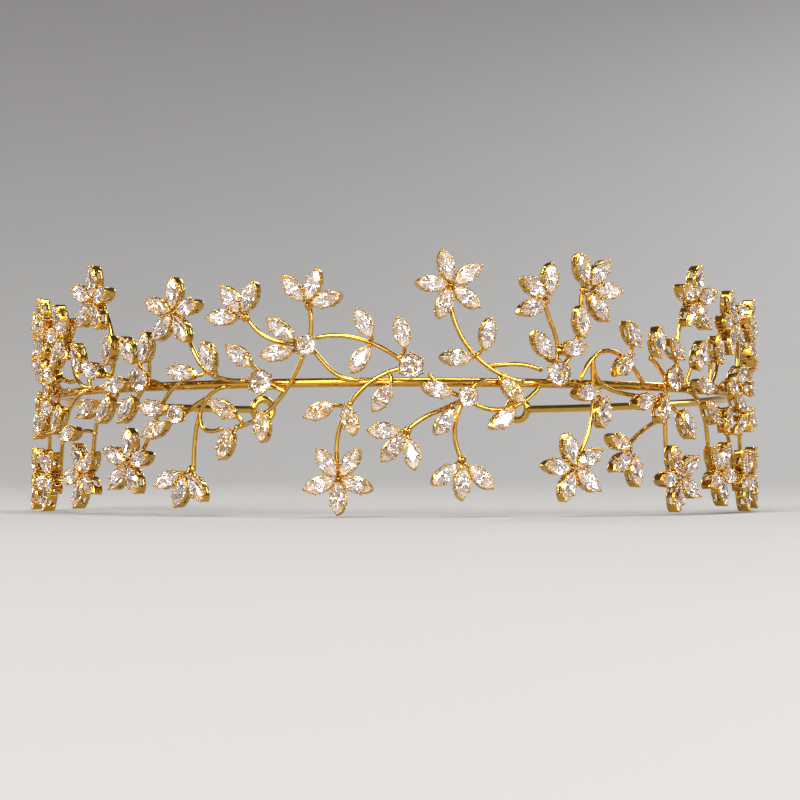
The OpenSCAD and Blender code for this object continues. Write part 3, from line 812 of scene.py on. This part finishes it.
def build_goldwork(band, stone, spray, material):
    """All metal of one spray: wires, settings, flower middles, cups and solder."""
    form = Form()
    rest = rest_matrix(band)
    setting = pointed_setting(stone)
    for points in spray[STEMS]:
        add_stem(form, band, guides(spray[STEMS], points), rest)
    for matrix in leaf_places(band, stone, spray):
        form.add(setting, rest @ matrix)
    for flower in spray[FLOWERS]:
        add_flower_middle(form, band, stone, flower, rest)
    for leaf in spray[LEAVES]:
        add_leaf_wire(form, band, spray, leaf, rest)
    for s, h, diameter in spray[ROUNDS]:
        claws = 6 if diameter == BIG else 4
        here = rest @ on_band(band, s, h, setting_out(band))
        form.add(round_setting(stone, diameter * MM, claws), here)
        pad = ball(diameter * 0.3 * MM, (1, 1, 0.3), 6, 12)
        form.add(pad, here @ Matrix.Translation((0, 0, -0.2 * MM)))
    return form.piece(f"{spray[NAME]}_goldwork", "gold_settings", material, [f"{spray[NAME]}_spray"])


def pointed_outline(stone):
    """The 16 girdle points of a pointed-oval stone."""
    return [(x, y) for x, y, _ in pointed_hoop(stone.length, stone.width, 0, count=8)]


def add_facet_tones(piece, seed):
    """Random value for each facet, which its tint is picked by."""
    draw = random.Random(seed)
    mesh = piece.data
    tone = mesh.attributes.new("facet", "FLOAT", "FACE")
    tone.data.foreach_set("value", [draw.random() for _ in mesh.polygons])


def build_crystals(band, stone, spray, material):
    """All pointed-oval crystals of one spray."""
    form = Form()
    rest = rest_matrix(band)
    shape = brilliant(pointed_outline(stone), stone, stone.crown, stone.pavilion)
    for matrix in leaf_places(band, stone, spray):
        form.add(shape, rest @ matrix, smooth=False)
    piece = form.piece(f"{spray[NAME]}_crystals", "pointed_crystals", material, [f"{spray[NAME]}_stones"])
    add_facet_tones(piece, spray[NAME])
    return piece


def build_round_crystal(band, stone, number, spot, material):
    """One round crystal."""
    s, h, diameter = spot
    form = Form()
    outline = [(x, y) for x, y, _ in round_hoop(diameter * MM + stone.round_extra, 0, 16)]
    shape = brilliant(outline, stone, stone.crown, diameter * MM * ROUND_DEPTH)
    form.add(shape, rest_matrix(band) @ on_band(band, s, h, setting_out(band)), smooth=False)
    piece = form.piece(f"round_crystal_{number}", "round_crystals", material, [f"round_stone_{number}"])
    add_facet_tones(piece, number)
    return piece


def build_band(band, material):
    """Round band wire whose ends curl into eyelets."""
    form = Form()
    rest = rest_matrix(band)
    end = math.pi - band.opening / 2
    radius = band.wire / 2
    steps = 260
    line = []
    for i in range(steps + 1):
        turn = -end + 2 * end * i / steps
        line.append((band.radius * math.sin(turn), -band.radius * math.cos(turn), 0))
    form.add(tube(line, [radius] * len(line), 20), rest)
    eye = band.eye_ring / 2
    steps = 48
    loop = []
    for i in range(steps + 1):
        turn = 2 * math.pi * i / steps
        loop.append((eye * math.cos(turn), 0, eye * math.sin(turn)))
    eyelet = tube(loop, [radius] * len(loop), 16)
    for side in (-1, 1):
        middle = Matrix.Translation((side * eye, -band.radius, 0))
        form.add(eyelet, rest @ Matrix.Rotation(side * end, 4, "Z") @ middle)
    return form.piece("band_wire", "band_wire", material, ["band"])


def shader_group(name, inputs, outputs):
    """Empty shader node group with named float or colour sockets."""
    group = bpy.data.node_groups.new(name, "ShaderNodeTree")
    for way, sockets in (("INPUT", inputs), ("OUTPUT", outputs)):
        for socket, kind, value in sockets:
            fresh = group.interface.new_socket(name=socket, in_out=way, socket_type=kind)
            if value is not None:
                fresh.default_value = value
    group.nodes.new("NodeGroupInput").name = "in"
    group.nodes.new("NodeGroupOutput").name = "out"
    return group


def new_node(tree, kind, **settings):
    """Node of one kind, with its settings."""
    node = tree.nodes.new(kind)
    for key, value in settings.items():
        setattr(node, key, value)
    return node


def feed(tree, value, socket):
    """Links a value from another node to a socket, or sets the socket to a plain value."""
    if isinstance(value, bpy.types.NodeSocket):
        tree.links.new(value, socket)
    else:
        socket.default_value = value


def reckon(tree, operation, *values, **settings):
    """Result of a sum on values of the tree and plain numbers."""
    node = new_node(tree, "ShaderNodeMath", operation=operation, **settings)
    for value, socket in zip(values, node.inputs):
        feed(tree, value, socket)
    return node.outputs[0]


def blended(tree, factor, a, b, **settings):
    """Colour between a and b by a factor."""
    node = new_node(tree, "ShaderNodeMix", data_type="RGBA", **settings)
    for name, value in (("Factor", factor), ("A", a), ("B", b)):
        feed(tree, value, node.inputs[name])
    return node.outputs["Result"]


def noise(tree, where, scale, detail=3.0):
    """Cloudy value at a place, from 0 to 1, with its marks per metre as the scale."""
    node = new_node(tree, "ShaderNodeTexNoise")
    node.inputs["Scale"].default_value = scale
    node.inputs["Detail"].default_value = detail
    feed(tree, where, node.inputs["Vector"])
    return node.outputs["Fac"]


def spread(tree, value, low, high, to_low=0.0, to_high=1.0):
    """A value moved from the range low to high over to the range to_low to to_high, and kept inside it."""
    node = new_node(tree, "ShaderNodeMapRange")
    for name, number in (("From Min", low), ("From Max", high), ("To Min", to_low), ("To Max", to_high)):
        node.inputs[name].default_value = number
    feed(tree, value, node.inputs["Value"])
    return node.outputs["Result"]


def polish_and_shade_group():
    """Hand polish on plated metal: cloudy tone with painted shade added in recesses, soft streaks and fine
    marks.
    """
    number = "NodeSocketFloat"
    tree = shader_group(
        "polish_and_painted_shade",
        [("Roughness", number, 0.15), ("Recess", number, 0.0)],
        [("Tone", number, None), ("Roughness", number, None), ("Height", number, None)],
    )
    given, out = tree.nodes["in"].outputs, tree.nodes["out"].inputs
    where = new_node(tree, "ShaderNodeTexCoord").outputs["Object"]
    cloud = spread(tree, noise(tree, where, CLOUDS), 0.4, 0.7, 0.0, 0.12)
    # Painted shade: points in recesses move up to 0.8 of the way to the dark gold, added to the random clouds
    # to make the tone
    deep = reckon(tree, "MULTIPLY", given["Recess"], 0.8)
    streak = spread(tree, noise(tree, where, STREAKS, 2.0), 0.3, 0.7, 0.85, 1.2)
    feed(tree, reckon(tree, "ADD", cloud, deep, use_clamp=True), out["Tone"])
    feed(tree, reckon(tree, "MULTIPLY", given["Roughness"], streak), out["Roughness"])
    feed(tree, noise(tree, where, FINE_MARKS, 2.0), out["Height"])
    return tree


def facet_group():
    """Tint and painted glow of a cut facet, both picked by its own random value."""
    number, tone = "NodeSocketFloat", "NodeSocketColor"
    tree = shader_group(
        "facet_tint",
        [("Facet", number, 0.5), ("Clear", tone, None), ("Rose", tone, None), ("Lilac", tone, None),
         ("Champagne", tone, None)],
        [("Colour", tone, None), ("Painted Glow", tone, None), ("Roughness", number, None)],
    )
    given, out = tree.nodes["in"].outputs, tree.nodes["out"].inputs
    tint = given["Clear"]
    for name, low, high in (("Rose", 0.45, 0.62), ("Lilac", 0.7, 0.85), ("Champagne", 0.84, 0.9)):
        tint = blended(tree, spread(tree, given["Facet"], low, high), tint, given[name])
    feed(tree, tint, out["Colour"])
    # The digits after the point of seven times the random value make a second random value
    second = reckon(tree, "FRACT", reckon(tree, "MULTIPLY", given["Facet"], 7.0))
    # Painted glow: brightness of the facet's emission, warmer than white
    glow = new_node(tree, "ShaderNodeCombineXYZ")
    for axis, brightest in (("X", 0.95), ("Y", 0.84), ("Z", 0.74)):
        feed(tree, spread(tree, second, 0.0, 1.0, 0.0, brightest), glow.inputs[axis])
    glow_colour = blended(tree, 1.0, tint, glow.outputs["Vector"], blend_type="MULTIPLY")
    feed(tree, glow_colour, out["Painted Glow"])
    where = new_node(tree, "ShaderNodeTexCoord").outputs["Object"]
    feed(tree, spread(tree, noise(tree, where, SMEARS), 0.35, 0.75, 0.0, 0.04), out["Roughness"])
    return tree


def new_material(name):
    """Material with its node tree and its surface shader."""
    material = bpy.data.materials.new(name)
    material.use_nodes = True
    return material, material.node_tree, material.node_tree.nodes["Principled BSDF"]


def gold_material(name, finish, group, roughness, bump):
    """Polished gold plating, with painted shade in its recesses."""
    material, tree, surface = new_material(name)
    polish = new_node(tree, "ShaderNodeGroup", node_tree=group)
    polish.inputs["Roughness"].default_value = roughness
    recess = new_node(tree, "ShaderNodeAttribute", attribute_name="recess")
    feed(tree, recess.outputs["Fac"], polish.inputs["Recess"])
    # Blends towards the cloud and shade gold by the random clouds and the painted recess shade
    gold = blended(tree, polish.outputs["Tone"], (*finish.gold, 1), (*finish.cloud_and_shade_gold, 1))
    feed(tree, gold, surface.inputs["Base Color"])
    feed(tree, polish.outputs["Roughness"], surface.inputs["Roughness"])
    surface.inputs["Metallic"].default_value = 1.0
    relief = new_node(tree, "ShaderNodeBump")
    relief.inputs["Strength"].default_value = bump
    relief.inputs["Distance"].default_value = 0.02 * MM
    feed(tree, polish.outputs["Height"], relief.inputs["Height"])
    feed(tree, relief.outputs["Normal"], surface.inputs["Normal"])
    return material


def crystal_material(name, finish, group):
    """Clear cut crystal whose facets vary a little in tint.

    Light that has turned round inside a crystal many times meets a painted glow of its last facet, an
    emission in place of black."""
    material, tree, surface = new_material(name)
    tint = new_node(tree, "ShaderNodeGroup", node_tree=group)
    for tone in ("Clear", "Rose", "Lilac", "Champagne"):
        tint.inputs[tone].default_value = (*getattr(finish, tone.lower()), 1)
    facet = new_node(tree, "ShaderNodeAttribute", attribute_name="facet")
    feed(tree, facet.outputs["Fac"], tint.inputs["Facet"])
    feed(tree, tint.outputs["Colour"], surface.inputs["Base Color"])
    feed(tree, tint.outputs["Roughness"], surface.inputs["Roughness"])
    surface.inputs["Transmission Weight"].default_value = 1.0
    surface.inputs["IOR"].default_value = CRYSTAL_IOR
    # Painted glow: past the last reflection the facet gives off its glow as emission, though it is no lamp
    path = new_node(tree, "ShaderNodeLightPath")
    lost = reckon(tree, "GREATER_THAN", path.outputs["Glossy Depth"], LAST_REFLECTION)
    feed(tree, tint.outputs["Painted Glow"], surface.inputs["Emission Color"])
    feed(tree, lost, surface.inputs["Emission Strength"])
    material.cycles.emission_sampling = "NONE"
    return material


def paper_material(stage):
    """Pale seamless paper that grows darker up the backdrop."""
    material, tree, surface = new_material("pale_paper")
    where = new_node(tree, "ShaderNodeTexCoord").outputs["Object"]
    axes = new_node(tree, "ShaderNodeSeparateXYZ")
    feed(tree, where, axes.inputs["Vector"])
    fibre = (*(c * 0.95 for c in stage.floor), 1)
    paper = blended(tree, noise(tree, where, FIBRES), (*stage.floor, 1), fibre)
    rise = spread(tree, axes.outputs["Z"], 0.0, 1.2)
    feed(tree, blended(tree, rise, paper, (*stage.backdrop, 1)), surface.inputs["Base Color"])
    surface.inputs["Roughness"].default_value = 0.75
    surface.inputs["Specular IOR Level"].default_value = 0.08
    return material


def made(name, maker, *values):
    """Material by its name, made when it isn't there yet."""
    return bpy.data.materials.get(name) or maker(name, *values)


def gold_for(scene, name, roughness, bump):
    """Gold plating of one name and roughness, whose fine marks are as strong as the bump."""
    group = bpy.data.node_groups.get("polish_and_painted_shade") or polish_and_shade_group()
    return made(name, gold_material, scene.tiara_finish, group, roughness, bump)


def crystal_for(scene, name):
    """Cut crystal of one name."""
    group = bpy.data.node_groups.get("facet_tint") or facet_group()
    return made(name, crystal_material, scene.tiara_finish, group)


class TIARA_OT_band(bpy.types.Operator):
    """Build the band wire with its eyelets"""

    bl_idname = "tiara.band"
    bl_label = "Band"

    def execute(self, context):
        scene = context.scene
        finish = scene.tiara_finish
        build_band(scene.tiara_band, gold_for(scene, "band_gold", finish.roughness * 1.2, 0.05))
        return {"FINISHED"}


class TIARA_OT_goldwork(bpy.types.Operator):
    """Build the wires and settings of every spray"""

    bl_idname = "tiara.goldwork"
    bl_label = "Goldwork"

    def execute(self, context):
        scene = context.scene
        material = gold_for(scene, "setting_gold", scene.tiara_finish.roughness, 0.08)
        for spray in SPRAYS:
            build_goldwork(scene.tiara_band, scene.tiara_stone, spray, material)
        return {"FINISHED"}


class TIARA_OT_crystals(bpy.types.Operator):
    """Cut the pointed-oval crystals of every spray"""

    bl_idname = "tiara.crystals"
    bl_label = "Pointed-oval crystals"

    def execute(self, context):
        scene = context.scene
        material = crystal_for(scene, "pointed_crystal")
        for spray in SPRAYS:
            build_crystals(scene.tiara_band, scene.tiara_stone, spray, material)
        return {"FINISHED"}


class TIARA_OT_round_crystals(bpy.types.Operator):
    """Cut the round crystals"""

    bl_idname = "tiara.round_crystals"
    bl_label = "Round crystals"

    def execute(self, context):
        scene = context.scene
        material = crystal_for(scene, "round_crystal")
        rounds = [stone for spray in SPRAYS for stone in spray[ROUNDS]]
        for number, spot in enumerate(rounds, 1):
            build_round_crystal(scene.tiara_band, scene.tiara_stone, number, spot, material)
        return {"FINISHED"}


def build_floor(stage):
    """Pale floor, flat for a metre from its middle, that curves up all round into a backdrop."""
    flat, bend, backdrop_top = 1.0, 2.2, 4.0
    steps, sides = 24, 96
    rows = [(0.0, 0.0), (flat * 0.5, 0.0), (flat, 0.0)]
    for i in range(1, steps + 1):
        turn = math.pi / 2 * i / steps
        rows.append((flat + bend * math.sin(turn), bend * (1 - math.cos(turn))))
    rows.append((flat + bend, backdrop_top))
    points, faces = [], []
    for reach, height in rows:
        for k in range(sides):
            turn = 2 * math.pi * k / sides
            points.append((reach * math.cos(turn), reach * math.sin(turn), height))
    for i in range(len(rows) - 1):
        faces += strip(i * sides, (i + 1) * sides, sides)
    mesh = bpy.data.meshes.new("floor")
    mesh.from_pydata(points, [], faces)
    mesh.polygons.foreach_set("use_smooth", [True] * len(faces))
    mesh.materials.append(paper_material(stage))
    floor = bpy.data.objects.new("floor", mesh)
    bpy.context.scene.collection.objects.link(floor)


def add_light(scene, name, spot, size, power, tint):
    """Soft rectangular light that faces the tiara."""
    light = bpy.data.lights.new(name, "AREA")
    light.shape = "RECTANGLE"
    light.size, light.size_y = size
    light.energy = power
    light.color = tint
    lamp = bpy.data.objects.new(name, light)
    lamp.location = spot
    lamp.rotation_euler = (Vector(LIT_PLACE) - Vector(spot)).to_track_quat("-Z", "Y").to_euler()
    lamp.visible_camera = False
    scene.collection.objects.link(lamp)


def add_world(scene):
    """Dim, slightly cool light from all round."""
    world = bpy.data.worlds.new("studio")
    scene.world = world
    world.use_nodes = True
    sky = world.node_tree.nodes["Background"]
    sky.inputs["Color"].default_value = (0.9, 0.92, 1, 1)
    sky.inputs["Strength"].default_value = 0.1


def add_camera(scene):
    """Camera that faces the middle of the tiara from a little to the left of its front."""
    stage, band = scene.tiara_stage, scene.tiara_band
    camera = bpy.data.cameras.new("camera")
    camera.lens = stage.focal
    camera.sensor_width = 36
    camera.clip_start = 0.01
    flat = Vector((-math.sin(stage.azimuth), -math.cos(stage.azimuth), 0))
    right = Vector((math.cos(stage.azimuth), -math.sin(stage.azimuth), 0))
    middle = (frame_box[0][2] + frame_box[1][2]) / 2
    target = Vector((0, band.rest_back, middle - stage.drop)) + right * stage.side_step
    out = flat * math.cos(stage.elevation) + Vector((0, 0, math.sin(stage.elevation)))
    eye = bpy.data.objects.new("camera", camera)
    eye.location = target + out * stage.distance
    eye.rotation_euler = (-out).to_track_quat("-Z", "Y").to_euler()
    scene.collection.objects.link(eye)
    scene.camera = eye


class TIARA_OT_stage(bpy.types.Operator):
    """Set up the floor, the soft lights and the camera"""

    bl_idname = "tiara.stage"
    bl_label = "Stage"

    def execute(self, context):
        scene = context.scene
        build_floor(scene.tiara_stage)
        for light in LIGHTS:
            add_light(scene, *light)
        add_world(scene)
        add_camera(scene)
        scene.view_settings.view_transform = "Standard"
        return {"FINISHED"}


class TIARA_PT_panel(bpy.types.Panel):
    """Lists the pieces to build, with their sizes and colours"""

    bl_idname = "TIARA_PT_panel"
    bl_label = "Tiara"
    bl_space_type = "VIEW_3D"
    bl_region_type = "UI"
    bl_category = "Tiara"

    def draw(self, context):
        for operator in OPERATORS:
            self.layout.operator(operator.bl_idname)
        for group in GROUPS:
            values = getattr(context.scene, group)
            box = self.layout.box()
            for name in values.__annotations__:
                box.prop(values, name)


OPERATORS = (TIARA_OT_band, TIARA_OT_goldwork, TIARA_OT_crystals, TIARA_OT_round_crystals, TIARA_OT_stage)
GROUPS = {
    "tiara_band": TiaraBandSizes,
    "tiara_stone": TiaraStoneSizes,
    "tiara_finish": TiaraFinish,
    "tiara_stage": TiaraStage,
}


def register():
    """Makes the properties, operators and panel known."""
    for kind in (*GROUPS.values(), *OPERATORS, TIARA_PT_panel):
        bpy.utils.register_class(kind)
    for name, kind in GROUPS.items():
        setattr(bpy.types.Scene, name, PointerProperty(type=kind))


def unregister():
    """Takes away what register made known."""
    for name in GROUPS:
        delattr(bpy.types.Scene, name)
    for kind in (TIARA_PT_panel, *OPERATORS, *GROUPS.values()):
        bpy.utils.unregister_class(kind)


def main():
    """Builds the tiara and its stage."""
    register()
    bpy.ops.tiara.band()
    bpy.ops.tiara.goldwork()
    bpy.ops.tiara.crystals()
    bpy.ops.tiara.round_crystals()
    bpy.ops.tiara.stage()


if __name__ == "__main__":
    main()
